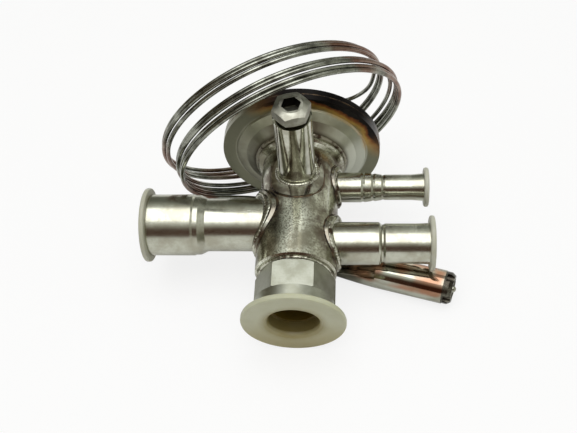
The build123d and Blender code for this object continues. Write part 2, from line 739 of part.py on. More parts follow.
lying = Pos(0, 0, axis_height) * Rot(tilt, 0, 0)
laid = {name: lying * piece for name, piece in valve.items()}
box = Compound(children=[Compound(piece.solids()) for piece in laid.values()]).bounding_box()
settled = Pos(-box.center().X, -box.center().Y, -box.min.Z)
parts = {name: settled * piece for name, piece in laid.items()}


def in_place(x, y, z):
    """Where a point of the valve's own frame lies once the valve is laid down."""
    return (settled * lying * Pos(x, y, z)).position


# ---- the capillary and the bulb, on the surface ---------------------------------------------

nipple_tip = rim_back + crown_rise + nipple_length
cord_exit = in_place(0, nipple_tip, 0)
bulb_entry = (BULB.location * Pos(-tail_drop, 0,
                                  -bulb_barrel_length - bulb_taper_length - bulb_tail_length)).position

parts["bulb_shell"] = bulb_shell()
parts["bulb_end_cap"] = bulb_end_cap()
parts["bulb_nipple"] = bulb_nipple()
coil = capillary_coil()
parts["capillary_coil"] = coil
parts["capillary_lead"] = tube_along([tuple(cord_exit)] + lead_route) - coil
parts["capillary_tail"] = tube_along(tail_route + [tuple(bulb_entry)]) - coil

os.makedirs("parts", exist_ok=True)
for name, piece in parts.items():
    solids = piece.solids()
    export_step(solids[0] if len(solids) == 1 else Compound(solids), "parts/" + name + ".step")

print("tilt %.3f axis height %.3f shift %s" % (tilt, axis_height, settled.position))
for label, point in [("outlet mouth", (-outlet_length, 0, 0)), ("inlet mouth", (inlet_length, inlet_offset, 0)),
                     ("equalizer mouth", (equalizer_length, equalizer_offset, 0)),
                     ("port end", (0, port_end, 0)), ("spindle top", (0, spindle_offset, head_top)),
                     ("nipple tip", (0, nipple_tip, 0))]:
    print(label, [round(value, 3) for value in in_place(*point)])
print("bulb entry", [round(value, 3) for value in bulb_entry], "coil", coil_plane())
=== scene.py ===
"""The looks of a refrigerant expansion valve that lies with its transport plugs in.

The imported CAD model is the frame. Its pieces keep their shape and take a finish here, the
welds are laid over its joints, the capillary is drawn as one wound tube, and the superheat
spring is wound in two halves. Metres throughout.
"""
from __future__ import annotations

import json
import logging
import math
from dataclasses import dataclass
from enum import Enum

import bpy
from mathutils import Matrix, Quaternion, Vector

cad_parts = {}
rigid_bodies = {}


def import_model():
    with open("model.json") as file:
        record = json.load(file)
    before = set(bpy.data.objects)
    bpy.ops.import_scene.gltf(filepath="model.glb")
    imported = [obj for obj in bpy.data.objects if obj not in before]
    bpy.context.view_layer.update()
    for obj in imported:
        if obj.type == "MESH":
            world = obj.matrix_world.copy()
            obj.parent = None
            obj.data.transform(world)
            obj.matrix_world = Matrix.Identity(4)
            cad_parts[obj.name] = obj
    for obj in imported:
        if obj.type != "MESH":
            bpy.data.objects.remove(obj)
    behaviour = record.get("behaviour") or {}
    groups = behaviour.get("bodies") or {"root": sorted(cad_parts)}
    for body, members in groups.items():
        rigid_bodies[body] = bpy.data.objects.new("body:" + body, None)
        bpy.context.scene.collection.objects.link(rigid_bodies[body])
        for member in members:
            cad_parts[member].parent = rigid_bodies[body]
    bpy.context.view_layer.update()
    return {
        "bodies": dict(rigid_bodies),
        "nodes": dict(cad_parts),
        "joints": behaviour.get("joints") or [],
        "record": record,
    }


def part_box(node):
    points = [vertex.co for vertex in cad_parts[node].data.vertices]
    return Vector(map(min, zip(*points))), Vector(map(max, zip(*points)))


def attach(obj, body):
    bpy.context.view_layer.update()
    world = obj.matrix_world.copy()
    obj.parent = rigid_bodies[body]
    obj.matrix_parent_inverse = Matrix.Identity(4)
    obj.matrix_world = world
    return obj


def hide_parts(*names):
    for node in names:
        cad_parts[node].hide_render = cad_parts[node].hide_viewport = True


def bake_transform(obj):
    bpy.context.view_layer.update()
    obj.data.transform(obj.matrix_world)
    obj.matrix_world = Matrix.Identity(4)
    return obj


log = logging.getLogger("valve")

MM = 0.001
Triple = tuple[float, float, float]
Colour = Triple
Range = tuple[float, float]
Piece = bpy.types.Object
Material = bpy.types.Material
Socket = bpy.types.NodeSocket
Value = Socket | Triple | float

X_AXIS = (1.0, 0.0, 0.0)
Y_AXIS = (0.0, 1.0, 0.0)
Z_AXIS = (0.0, 0.0, 1.0)


# ---- node helpers -------------------------------------------------------------------------

@dataclass(frozen=True)
class Cloud:
    """A cloudy pattern: how fine it is, and the part of its range that counts."""

    scale: float
    low: float = 0.0
    high: float = 1.0
    detail: float = 3.0
    rough: float = 0.5


class Nodes:
    """A node tree with short calls for the nodes that the finishes and the room use."""

    def __init__(self, tree: bpy.types.NodeTree) -> None:
        """Take the tree that the nodes go into."""
        self.tree = tree

    def node(self, kind: str, **settings: object) -> bpy.types.Node:
        """Add a node and set its plain properties.

        Args:
            kind: Blender's name of the node type.
            settings: Properties of the node.

        Returns:
            The new node.
        """
        made = self.tree.nodes.new(kind)
        for key, value in settings.items():
            setattr(made, key, value)
        return made

    def feed(self, socket: Socket, value: Value) -> None:
        """Link a socket to another node's output, or set its value.

        Args:
            socket: The socket to fill.
            value: An output, a number, a vector or a colour.
        """
        if isinstance(value, bpy.types.NodeSocket):
            self.tree.links.new(value, socket)
        elif isinstance(value, tuple) and len(value) == 3 and len(socket.default_value) == 4:
            socket.default_value = (*value, 1.0)
        else:
            socket.default_value = value

    def math(self, operation: str, *values: Value) -> Socket:
        """Work out one number from up to three others.

        Args:
            operation: Blender's name of the operation.
            values: The numbers.

        Returns:
            The result.
        """
        made = self.node("ShaderNodeMath", operation=operation)
        for socket, value in zip(made.inputs, values):
            self.feed(socket, value)
        return made.outputs[0]

    def vector(self, operation: str, first: Value, second: Value = (0.0, 0.0, 0.0),
               output: str = "Vector") -> Socket:
        """Work out a vector or a number from vectors.

        Args:
            operation: Blender's name of the operation.
            first: The first vector.
            second: The second vector.
            output: "Vector", or "Value" for a number.

        Returns:
            The result.
        """
        made = self.node("ShaderNodeVectorMath", operation=operation)
        self.feed(made.inputs[0], first)
        self.feed(made.inputs[1], second)
        return made.outputs[output]

    def length(self, value: Value) -> Socket:
        """The length of a vector."""
        return self.vector("LENGTH", value, output="Value")

    def along(self, value: Value, direction: Triple) -> Socket:
        """How far a vector reaches in a direction."""
        return self.vector("DOT_PRODUCT", value, direction, "Value")

    def across(self, value: Value, axis: Triple) -> Socket:
        """A vector without its part along X, Y or Z."""
        return self.vector("MULTIPLY", value, tuple(1.0 - abs(part) for part in axis))

    def noise(self, where: Value, cloud: Cloud) -> Socket:
        """Cloudy noise, from 0 to 1.

        Args:
            where: Coordinates of the shaded point.
            cloud: The pattern.

        Returns:
            The noise.
        """
        made = self.node("ShaderNodeTexNoise")
        self.feed(made.inputs["Vector"], where)
        self.feed(made.inputs["Scale"], cloud.scale)
        self.feed(made.inputs["Detail"], cloud.detail)
        self.feed(made.inputs["Roughness"], cloud.rough)
        return made.outputs["Fac"]

    def span(self, value: Value, low: float, high: float, start: float = 0.0, end: float = 1.0,
             smooth: bool = True) -> Socket:
        """Turn a range of numbers into another, held at both ends.

        Args:
            value: The number to turn.
            low: Where the first range starts.
            high: Where the first range ends.
            start: What the low end becomes.
            end: What the high end becomes.
            smooth: Whether it eases in and out.

        Returns:
            The new number.
        """
        made = self.node("ShaderNodeMapRange", interpolation_type="SMOOTHSTEP" if smooth else "LINEAR")
        for socket, number in zip(made.inputs, (value, low, high, start, end)):
            self.feed(socket, number)
        return made.outputs[0]

    def spread(self, noise: Value, cloud: Cloud, share: float = 1.0) -> Socket:
        """The part of a noise that counts, from 0 to a share."""
        return self.span(noise, cloud.low, cloud.high, 0.0, share)

    def patches(self, where: Value, cloud: Cloud, share: float = 1.0) -> Socket:
        """Patches of a cloudy pattern, from 0 to a share."""
        return self.spread(self.noise(where, cloud), cloud, share)

    def blend(self, share: Value, first: Value, second: Value) -> Socket:
        """Mix two colours.

        Args:
            share: How much of the second colour there is.
            first: The first colour.
            second: The second colour.

        Returns:
            The mixed colour.
        """
        made = self.node("ShaderNodeMix", data_type="RGBA")
        factor, colour_a, colour_b = made.inputs[0], made.inputs[6], made.inputs[7]
        self.feed(factor, share)
        self.feed(colour_a, first)
        self.feed(colour_b, second)
        return made.outputs[2]


class Recipe(Nodes):
    """A material with one principled shader."""

    def __init__(self, name: str, metallic: bool = False) -> None:
        """Start the material.

        Args:
            name: The material's name.
            metallic: Whether it is bare metal.
        """
        self.material = bpy.data.materials.new(name)
        self.material.use_nodes = True
        super().__init__(self.material.node_tree)
        self.shader = self.tree.nodes["Principled BSDF"]
        if metallic:
            self.shader.inputs["Metallic"].default_value = 1.0

    def place(self, origin: Triple = (0.0, 0.0, 0.0), turn: Triple = (0.0, 0.0, 0.0),
              scale: Triple = (1.0, 1.0, 1.0)) -> Socket:
        """Object coordinates as seen from a frame that is moved, turned and scaled.

        Args:
            origin: Where the pattern's own frame lies.
            turn: How that frame is turned, in radians about X, Y and Z.
            scale: The size of the pattern's unit along each axis.

        Returns:
            The coordinates in that frame.
        """
        source = self.node("ShaderNodeTexCoord")
        mapping = self.node("ShaderNodeMapping", vector_type="TEXTURE")
        self.feed(mapping.inputs["Vector"], source.outputs["Object"])
        self.feed(mapping.inputs["Location"], origin)
        self.feed(mapping.inputs["Rotation"], turn)
        self.feed(mapping.inputs["Scale"], scale)
        return mapping.outputs[0]

    def coat(self, colour: Value, roughness: Value) -> None:
        """Give the shader its base colour and its roughness."""
        self.feed(self.shader.inputs["Base Color"], colour)
        self.feed(self.shader.inputs["Roughness"], roughness)

    def bump(self, height: Value, depth: float, strength: float = 0.5) -> None:
        """Raise the surface by a height pattern, on top of what is raised already.

        Args:
            height: The pattern.
            depth: How deep it is.
            strength: How much of it shows.
        """
        made = self.node("ShaderNodeBump")
        self.feed(made.inputs["Height"], height)
        self.feed(made.inputs["Distance"], depth)
        self.feed(made.inputs["Strength"], strength)
        before = self.shader.inputs["Normal"].links
        if before:
            self.feed(made.inputs["Normal"], before[0].from_socket)
        self.feed(self.shader.inputs["Normal"], made.outputs[0])


# ---- where the valve lies -----------------------------------------------------------------

@dataclass(frozen=True)
class ValvePlace:
    """The valve's own frame: +X to the inlet, +Y to the power element, +Z up the spindle."""

    origin: Triple
    tilt: float

    @classmethod
    def from_frame(cls, frame: dict) -> "ValvePlace":
        """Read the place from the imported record's mounts and joints.


        Returns:
            The place of the valve's own frame.
        """
        low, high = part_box("valve_body")
        outlet = next(mount for mount in frame["record"]["mounts"] if mount["name"] == "outlet_socket")
        joint = next(joint for joint in frame["record"]["behaviour"]["joints"]
                     if joint["name"] == "port_cover_slide")
        tilt = math.atan2(-joint["axis"][2], -joint["axis"][1])
        return cls(((low.x + high.x) / 2, outlet["pos_m"][1], outlet["pos_m"][2]), tilt)

    @property
    def matrix(self) -> Matrix:
        """From the valve's own frame to the row's."""
        return Matrix.Translation(self.origin) @ Matrix.Rotation(self.tilt, 4, "X")

    def seen(self, recipe: Recipe, scale: Triple = (1.0, 1.0, 1.0)) -> Socket:
        """Coordinates in the valve's own frame."""
        return recipe.place(self.origin, (self.tilt, 0.0, 0.0), scale)


class Port(Enum):
    """A welded connection on the body: offset along the body, direction and saddle radius."""

    OUTLET = (0.0, (-1.0, 0.0, 0.0), 9.9 * MM)
    INLET = (-6.3 * MM, X_AXIS, 8.0 * MM)
    EQUALIZER = (13.2 * MM, X_AXIS, 6.2 * MM)
    SPINDLE = (10.9 * MM, Z_AXIS, 7.4 * MM)

    @property
    def centre(self) -> Triple:
        """The point on the body's axis that the port's axis passes through."""
        return (0.0, self.value[0], 0.0)

    @property
    def axis(self) -> Triple:
        """The direction out of the body."""
        return self.value[1]

    @property
    def saddle(self) -> float:
        """The saddle's radius."""
        return self.value[2]


# ---- finishes -----------------------------------------------------------------------------

@dataclass(frozen=True)
class SteelFinish:
    """Stainless steel: clouded tone, fine drawn lines, specks, patches of painted reflection in the tint
    colour, and heat tint beside the welds.
    """

    name: str
    place: ValvePlace
    tone: Colour = (0.58, 0.59, 0.50)
    shade: Colour = (0.42, 0.41, 0.33)
    clouds: Cloud = Cloud(170.0, 0.38, 0.64, 4.0, 0.6)
    scratches: Cloud = Cloud(1500.0, 0.56, 0.7, 4.0, 0.7)
    scratch_share: float = 0.45
    specks: Cloud = Cloud(1900.0, 0.5, 0.58, rough=0.6)
    speck_share: float = 0.0
    tint: Colour = (0.10, 0.065, 0.048)
    # patches of the tint colour: a painted reflection, red-brown on the capillary
    bloom: Cloud = Cloud(60.0, 0.47, 0.6, 2.0)
    reflection_patch_share: float = 0.0
    # the tint round a saddle: its band, and how far out of the body it starts and ends
    heat_patches: Cloud = Cloud(300.0, 0.36, 0.56, rough=0.6)
    heat_share: float = 0.0
    heat_gap: float = 0.7 * MM
    heat_width: float = 3.4 * MM
    heat_start: Range = (2.0 * MM, 5.0 * MM)
    heat_end: Range = (12.5 * MM, 15.0 * MM)
    roughness: float = 0.24
    roughness_spread: float = 0.12
    ripple: Cloud = Cloud(260.0, detail=2.0)
    ripple_depth: float = 0.03 * MM
    grain: Cloud = Cloud(5200.0, detail=2.0)
    grain_depth: float = 0.004 * MM
    grain_strength: float = 0.6
    line_stretch: Triple = (1.0, 12.0, 1.0)

    def ring(self, recipe: Recipe, here: Socket, port: Port) -> Socket:
        """A soft band round one saddle, on the port's side of the body and close to it.

        Args:
            recipe: The material that is being built.
            here: Coordinates in the valve's frame.
            port: The connection.

        Returns:
            One in the middle of the band, none a width away from it.
        """
        offset = recipe.vector("SUBTRACT", here, port.centre)
        distance = recipe.length(recipe.across(offset, port.axis))
        away = recipe.math("ABSOLUTE", recipe.math("SUBTRACT", distance, port.saddle + self.heat_gap))
        out = recipe.along(offset, port.axis)
        side = recipe.math("MULTIPLY", recipe.span(out, *self.heat_start),
                           recipe.span(out, *self.heat_end, 1.0, 0.0))
        return recipe.math("MULTIPLY", recipe.span(away, 0.0, self.heat_width, 1.0, 0.0), side)

    def heat(self, recipe: Recipe, here: Socket) -> Socket:
        """Where the steel is tinted: in patches round each saddle.

        Args:
            recipe: The material that is being built.
            here: Coordinates in the valve's frame.

        Returns:
            The share of the tint.
        """
        burnt: Value = 0.0
        for port in Port:
            burnt = recipe.math("MAXIMUM", burnt, self.ring(recipe, here, port))
        patches = recipe.patches(here, self.heat_patches)
        return recipe.math("MULTIPLY", recipe.math("MULTIPLY", burnt, patches), self.heat_share)

    def make(self) -> Material:
        """Build the material.

        Returns:
            The new material.
        """
        recipe = Recipe(self.name, metallic=True)
        here = self.place.seen(recipe)
        lines = self.place.seen(recipe, self.line_stretch)
        clouds = recipe.noise(here, self.clouds)
        scratches = recipe.noise(lines, self.scratches)
        base = recipe.blend(recipe.spread(clouds, self.clouds), self.tone, self.shade)
        worn = recipe.spread(scratches, self.scratches, self.scratch_share)
        base = recipe.blend(worn, base, self.shade)
        if self.speck_share:
            base = recipe.blend(recipe.patches(here, self.specks, self.speck_share), base, self.shade)
        # painted reflection, in patches of the tint colour
        if self.reflection_patch_share:
            base = recipe.blend(recipe.patches(here, self.bloom, self.reflection_patch_share), base, self.tint)
        if self.heat_share:
            base = recipe.blend(self.heat(recipe, here), base, self.tint)
        recipe.coat(base, recipe.math("MULTIPLY_ADD", recipe.math("ADD", scratches, clouds),
                                      self.roughness_spread, self.roughness - self.roughness_spread))
        recipe.bump(recipe.noise(here, self.ripple), self.ripple_depth)
        recipe.bump(recipe.noise(lines, self.grain), self.grain_depth, self.grain_strength)
        return recipe.material


@dataclass(frozen=True)
class SpindleFinish:
    """The turned setting spindle, with painted shade down in its key hole."""

    place: ValvePlace
    name: str = "turned_steel"
    hole_radius: float = 2.75 * MM
    hole_edge: float = 0.1 * MM
    floor_level: float = 35.2 * MM
    floor_edge: float = 0.2 * MM
    floor_share: float = 0.85
    face_level: float = 38.4 * MM
    face_edge: Range = (0.12 * MM, 0.03 * MM)
    tone: Colour = (0.40, 0.40, 0.34)
    shade: Colour = (0.27, 0.265, 0.22)
    # painted shade in the key hole: on its floor, and darker on its walls
    floor_shade: Colour = (0.17, 0.165, 0.13)
    dark: Colour = (0.012, 0.01, 0.008)
    clouds: Cloud = Cloud(420.0, 0.36, 0.64, rough=0.6)
    lathe: Cloud = Cloud(1500.0)
    lathe_stretch: Triple = (1.0, 1.0, 6.0)
    lathe_depth: float = 0.01 * MM
    roughness: float = 0.26
    roughness_spread: float = 0.2

    def make(self) -> Material:
        """Build the material.

        Returns:
            The new material.
        """
        recipe = Recipe(self.name, metallic=True)
        here = self.place.seen(recipe)
        offset = recipe.vector("SUBTRACT", here, Port.SPINDLE.centre)
        radius = recipe.length(recipe.across(offset, Z_AXIS))
        level = recipe.along(offset, Z_AXIS)
        within = recipe.span(radius, self.hole_radius - self.hole_edge, self.hole_radius, 1.0, 0.0)
        deep, shallow = self.face_edge
        below = recipe.span(level, self.face_level - deep, self.face_level - shallow, 1.0, 0.0)
        inside = recipe.math("MULTIPLY", within, below)
        above = recipe.span(level, self.floor_level, self.floor_level + self.floor_edge)
        base = recipe.blend(recipe.patches(here, self.clouds), self.tone, self.shade)
        # painted shade down in the key hole: the floor first, then the walls above it
        base = recipe.blend(recipe.math("MULTIPLY", inside, self.floor_share), base, self.floor_shade)
        base = recipe.blend(recipe.math("MULTIPLY", inside, above), base, self.dark)
        turned = recipe.noise(recipe.vector("MULTIPLY", offset, self.lathe_stretch), self.lathe)
        recipe.coat(base, recipe.math("MULTIPLY_ADD", turned, self.roughness_spread, self.roughness))
        recipe.bump(turned, self.lathe_depth)
        return recipe.material


@dataclass(frozen=True)
class ElementFinish:
    """The power element's pressed cups: satin steel with a burnt seam round part of the rim."""

    place: ValvePlace
    name: str = "element_steel"
    tone: Colour = (0.42, 0.42, 0.325)
    shade: Colour = (0.30, 0.29, 0.22)
    clouds: Cloud = Cloud(130.0, 0.35, 0.7, 4.0, 0.6)
    # the brighter side of the cups: a painted reflection
    painted_sheen_tone: Colour = (0.60, 0.62, 0.54)
    far_direction: Triple = (1.0, 0.0, -0.25)
    far_reach: Range = (4.0 * MM, 20.0 * MM)
    far_share: float = 0.8
    # the darker ring outside the step
    annulus: Colour = (0.22, 0.22, 0.155)
    step_radius: float = 19.4 * MM
    step_edge: float = 0.7 * MM
    # soot beside the neck weld
    soot: Colour = (0.07, 0.055, 0.035)
    soot_share: float = 0.9
    soot_reach: Range = (0.4 * MM, 1.7 * MM)
    neck_radius: float = 13.0 * MM
    # the burn lies where the seam weld was closed, and it reaches furthest in at its middle
    rim_radius: float = 23.5 * MM
    closing_direction: Triple = (0.47, 0.0, 0.88)
    closing_range: Range = (0.3, 0.8)
    closing_reach: float = 1.0 * MM
    wander: Cloud = Cloud(110.0, 0.3, 0.7, 4.0, 0.6)
    wander_reach: Range = (-1.4 * MM, 0.8 * MM)
    # each burn colour, and where it sets in and is full, in millimetres from the rim
    burns: tuple[tuple[float, float, Colour], ...] = (
        (-4.4, -2.2, (0.58, 0.36, 0.10)), (-2.6, -1.2, (0.26, 0.09, 0.03)),
        (-1.4, -0.4, (0.02, 0.018, 0.018)))
    lathe: Cloud = Cloud(700.0)
    lathe_depth: float = 0.006 * MM
    ripple: Cloud = Cloud(240.0, detail=2.0)
    ripple_depth: float = 0.03 * MM
    roughness: float = 0.22
    roughness_spread: float = 0.2

    def make(self) -> Material:
        """Build the material.

        Returns:
            The new material.
        """
        recipe = Recipe(self.name, metallic=True)
        here = self.place.seen(recipe)
        across = recipe.across(here, Y_AXIS)
        radius = recipe.length(across)
        base = recipe.blend(recipe.patches(here, self.clouds), self.tone, self.shade)
        # painted reflection: the cups are lighter towards the inlet side
        painted_sheen = recipe.span(recipe.along(here, self.far_direction), *self.far_reach, 0.0, self.far_share)
        base = recipe.blend(painted_sheen, base, self.painted_sheen_tone)
        past_step = recipe.span(radius, self.step_radius, self.step_radius + self.step_edge)
        base = recipe.blend(past_step, base, self.annulus)
        neck = recipe.math("ABSOLUTE", recipe.math("SUBTRACT", radius, self.neck_radius))
        base = recipe.blend(recipe.span(neck, *self.soot_reach, self.soot_share, 0.0), base, self.soot)
        closing = recipe.along(recipe.vector("NORMALIZE", across), self.closing_direction)
        burn = recipe.span(closing, *self.closing_range)
        wander = recipe.span(recipe.noise(here, self.wander), self.wander.low, self.wander.high,
                             *self.wander_reach, smooth=False)
        reach = recipe.math("ADD", radius, recipe.math("MULTIPLY_ADD", closing, self.closing_reach, wander))
        for start, end, colour in self.burns:
            band = recipe.span(reach, self.rim_radius + start * MM, self.rim_radius + end * MM)
            base = recipe.blend(recipe.math("MULTIPLY", band, burn), base, colour)
        turned = recipe.noise(across, self.lathe)
        recipe.coat(base, recipe.math("MULTIPLY_ADD", turned, self.roughness_spread, self.roughness))
        recipe.bump(recipe.noise(here, self.ripple), self.ripple_depth)
        recipe.bump(turned, self.lathe_depth)
        return recipe.material


@dataclass(frozen=True)
class WeldFinish:
    """A weld bead with fine ripples and some soot."""

    place: ValvePlace
    name: str = "weld_bead"
    tone: Colour = (0.56, 0.56, 0.47)
    soot: Colour = (0.07, 0.045, 0.03)
    soot_from: float = 0.48
    soot_span: float = 0.16
    clouds: Cloud = Cloud(380.0, detail=4.0, rough=0.65)
    roughness: float = 0.14
    roughness_spread: float = 0.2
    ripple: Cloud = Cloud(900.0, detail=2.0)
    ripple_depth: float = 0.05 * MM
    ripple_strength: float = 0.6

    def make(self) -> Material:
        """Build the material.

        Returns:
            The new material.
        """
        recipe = Recipe(self.name, metallic=True)
        here = self.place.seen(recipe)
        clouds = recipe.noise(here, self.clouds)
        sooty = recipe.span(clouds, self.soot_from, self.soot_from + self.soot_span)
        recipe.coat(recipe.blend(sooty, self.tone, self.soot),
                    recipe.math("MULTIPLY_ADD", clouds, self.roughness_spread, self.roughness))
        recipe.bump(recipe.noise(here, self.ripple), self.ripple_depth, self.ripple_strength)
        return recipe.material


@dataclass(frozen=True)
class PlugFinish:
    """Translucent ivory plastic, with painted shade towards the table and where a recess lies over the
    hollow port.
    """

    place: ValvePlace
    name: str
    centre: Triple
    axis: Triple
    recess_radius: float
    tone: Colour = (0.52, 0.53, 0.39)
    edge: Colour = (0.47, 0.475, 0.33)
    clouds: Cloud = Cloud(120.0, 0.35, 0.65)
    # painted shade: towards the table the plastic darkens
    low: Colour = (0.40, 0.35, 0.165)
    low_shade_share: float = 0.9
    low_shade_levels: Range = (-14.0 * MM, 5.0 * MM)
    # round the recess, in clouds
    halo: Colour = (0.27, 0.22, 0.075)
    halo_share: float = 0.7
    halo_reach: Range = (0.4 * MM, 3.2 * MM)
    halo_clouds: tuple[float, float, float, float] = (0.25, 0.6, 0.6, 1.0)
    # painted shade over the hollow, inside the recess
    hollow: Colour = (0.115, 0.076, 0.006)
    hollow_shade_share: float = 0.95
    hollow_shade_reach: Range = (-0.2 * MM, 0.3 * MM)
    subsurface: float = 0.25
    subsurface_colour: Colour = (1.0, 0.9, 0.6)
    subsurface_depth: float = 1.2 * MM
    gloss: Cloud = Cloud(900.0, 0.3, 0.7)
    gloss_range: Range = (0.3, 0.44)
    ripple: Cloud = Cloud(300.0, detail=2.0)
    ripple_depth: float = 0.04 * MM

    def make(self) -> Material:
        """Build the material.

        Returns:
            The new material.
        """
        recipe = Recipe(self.name)
        here = self.place.seen(recipe)
        offset = recipe.vector("SUBTRACT", here, self.centre)
        distance = recipe.length(recipe.across(offset, self.axis))
        past_edge = recipe.math("SUBTRACT", distance, self.recess_radius)
        clouds = recipe.noise(here, self.clouds)
        base = recipe.blend(recipe.spread(clouds, self.clouds), self.tone, self.edge)
        # painted shade towards the table
        low = recipe.span(recipe.along(offset, Z_AXIS), *self.low_shade_levels, self.low_shade_share, 0.0)
        base = recipe.blend(low, base, self.low)
        halo = recipe.span(past_edge, *self.halo_reach, self.halo_share, 0.0)
        halo = recipe.math("MULTIPLY", halo, recipe.span(clouds, *self.halo_clouds))
        base = recipe.blend(halo, base, self.halo)
        # painted shade over the hollow
        inside = recipe.span(past_edge, *self.hollow_shade_reach, self.hollow_shade_share, 0.0)
        base = recipe.blend(inside, base, self.hollow)
        gloss = recipe.noise(here, self.gloss)
        recipe.coat(base, recipe.span(gloss, self.gloss.low, self.gloss.high, *self.gloss_range))
        shader = recipe.shader.inputs
        shader["Subsurface Weight"].default_value = self.subsurface
        shader["Subsurface Radius"].default_value = self.subsurface_colour
        shader["Subsurface Scale"].default_value = self.subsurface_depth
        recipe.bump(recipe.noise(here, self.ripple), self.ripple_depth)
        return recipe.material


@dataclass(frozen=True)
class BulbFinish:
    """Bright drawn steel, with painted shade and some soot at the brazed neck, and a painted brown
    reflection in patches on its upper side.
    """

    name: str = "bulb_steel"
    tone: Colour = (0.44, 0.45, 0.38)
    shade: Colour = (0.26, 0.25, 0.19)
    # the drawn clouds run along the barrel
    clouds: Cloud = Cloud(260.0, 0.38, 0.62, 4.0, 0.6)
    barrel_turn: Triple = (0.0, 0.0, -0.295)
    barrel_stretch: Triple = (3.0, 1.0, 1.0)
    # painted brown reflection, in patches on the upper side
    tint: Colour = (0.34, 0.15, 0.08)
    reflection_patches: Cloud = Cloud(75.0, 0.53, 0.62, 2.0)
    reflection_share: float = 0.8
    reflection_heights: Range = (4.5 * MM, 6.0 * MM)
    # painted shade round the neck, partly brazing soot, with a wandering edge
    soot: Colour = (0.07, 0.065, 0.05)
    soot_share: float = 0.95
    soot_reach: Range = (10.0 * MM, 21.0 * MM)
    wander: Cloud = Cloud(200.0, 0.3, 0.7)
    wander_reach: float = 3.0 * MM
    neck: Triple = (6.9 * MM, -1.5 * MM, 1.7 * MM)
    roughness: float = 0.04
    roughness_spread: float = 0.12
    ripple: Cloud = Cloud(180.0, detail=2.0)
    ripple_depth: float = 0.05 * MM
    ripple_strength: float = 0.6

    def make(self) -> Material:
        """Build the material.

        Returns:
            The new material.
        """
        recipe = Recipe(self.name, metallic=True)
        here = recipe.place()
        clouds = recipe.noise(recipe.place(turn=self.barrel_turn, scale=self.barrel_stretch), self.clouds)
        base = recipe.blend(recipe.spread(clouds, self.clouds), self.tone, self.shade)
        # painted brown reflection on the upper side
        patches = recipe.patches(here, self.reflection_patches, self.reflection_share)
        upper = recipe.span(recipe.along(here, Z_AXIS), *self.reflection_heights)
        base = recipe.blend(recipe.math("MULTIPLY", patches, upper), base, self.tint)
        # painted shade round the neck, partly brazing soot
        wander = recipe.patches(here, self.wander, self.wander_reach)
        distance = recipe.length(recipe.vector("SUBTRACT", here, self.neck))
        burnt = recipe.span(recipe.math("ADD", distance, wander), *self.soot_reach, self.soot_share, 0.0)
        base = recipe.blend(burnt, base, self.soot)
        recipe.coat(base, recipe.math("MULTIPLY_ADD", clouds, self.roughness_spread, self.roughness))
        recipe.bump(recipe.noise(here, self.ripple), self.ripple_depth, self.ripple_strength)
        return recipe.material


@dataclass(frozen=True)
class RubberFinish:
    """Black elastomer with a soft bloom."""

    name: str = "o_ring_rubber"
    tone: Colour = (0.015, 0.015, 0.015)
    bloom_tone: Colour = (0.05, 0.05, 0.048)
    bloom: Cloud = Cloud(900.0, 0.4, 0.7)
    roughness: float = 0.6

    def make(self) -> Material:
        """Build the material.

        Returns:
            The new material.
        """
        recipe = Recipe(self.name)
        bloom = recipe.patches(recipe.place(), self.bloom)
        recipe.coat(recipe.blend(bloom, self.tone, self.bloom_tone), self.roughness)
        return recipe.material


@dataclass(frozen=True)
class BrassFinish:
    """Turned brass with fine lathe lines."""

    place: ValvePlace
    name: str = "turned_brass"
    tone: Colour = (0.72, 0.56, 0.28)
    shade: Colour = (0.58, 0.43, 0.2)
    lathe: Cloud = Cloud(4000.0, detail=2.0)
    lathe_stretch: Triple = (6.0, 1.0, 6.0)
    lathe_depth: float = 0.004 * MM
    roughness: float = 0.22
    roughness_spread: float = 0.12

    def make(self) -> Material:
        """Build the material.

        Returns:
            The new material.
        """
        recipe = Recipe(self.name, metallic=True)
        lathe = recipe.noise(self.place.seen(recipe, self.lathe_stretch), self.lathe)
        recipe.coat(recipe.blend(lathe, self.tone, self.shade),
                    recipe.math("MULTIPLY_ADD", lathe, self.roughness_spread, self.roughness))
        recipe.bump(lathe, self.lathe_depth)
        return recipe.material


# ---- handling pieces ----------------------------------------------------------------------

class Bench:
    """Ways to handle pieces that every class uses."""

    @staticmethod
    def clear() -> None:
        """Deselect everything."""
        bpy.ops.object.select_all(action="DESELECT")

    @staticmethod
    def dress(piece: Piece, material: Material) -> None:
        """Put one material on a piece in place of what it had."""
        piece.data.materials.clear()
        piece.data.materials.append(material)

    @staticmethod
    def settle(piece: Piece, matrix: Matrix) -> None:
        """Move a piece's mesh by a matrix and leave its object at the origin."""
        piece.data.transform(matrix @ piece.matrix_basis)
        piece.matrix_basis = Matrix.Identity(4)

    @staticmethod
    def smooth(piece: Piece, name: str, slot: str, material: Material) -> None:
        """Name a new piece, smooth its faces and dress it.

        Args:
            piece: The piece.
            name: Its name.
            slot: Not used.
            material: Its finish.
        """
        piece.name = name
        piece.data.name = name
        for face in piece.data.polygons:
            face.use_smooth = True
        Bench.dress(piece, material)

    @staticmethod
    def finish(piece: Piece, name: str, body: str, slot: str, material: Material) -> None:
        """Complete a new piece and let it ride on its body.

        Args:
            piece: The piece.
            name: Its name.
            body: The body that carries it.
            slot: The name of its material slot.
            material: Its finish.
        """
        Bench.smooth(piece, name, slot, material)
        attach(piece, body)
        log.info("%s rides on %s", name, body)


# ---- studio -------------------------------------------------------------------------------

@dataclass(frozen=True)
class SoftBox:
    """One large area light."""

    name: str
    place: Triple
    aim: Triple
    size: float
    watts: float
    colour: Colour = (1.0, 1.0, 1.0)

    def build(self) -> None:
        """Add the light."""
        lamp = bpy.data.lights.new(self.name, "AREA")
        lamp.shape = "SQUARE"
        lamp.size = self.size
        lamp.energy = self.watts
        lamp.color = self.colour
        holder = bpy.data.objects.new(self.name, lamp)
        holder.location = self.place
        holder.rotation_euler = (Vector(self.aim) - Vector(self.place)).to_track_quat("-Z", "Y").to_euler()
        bpy.context.scene.collection.objects.link(holder)


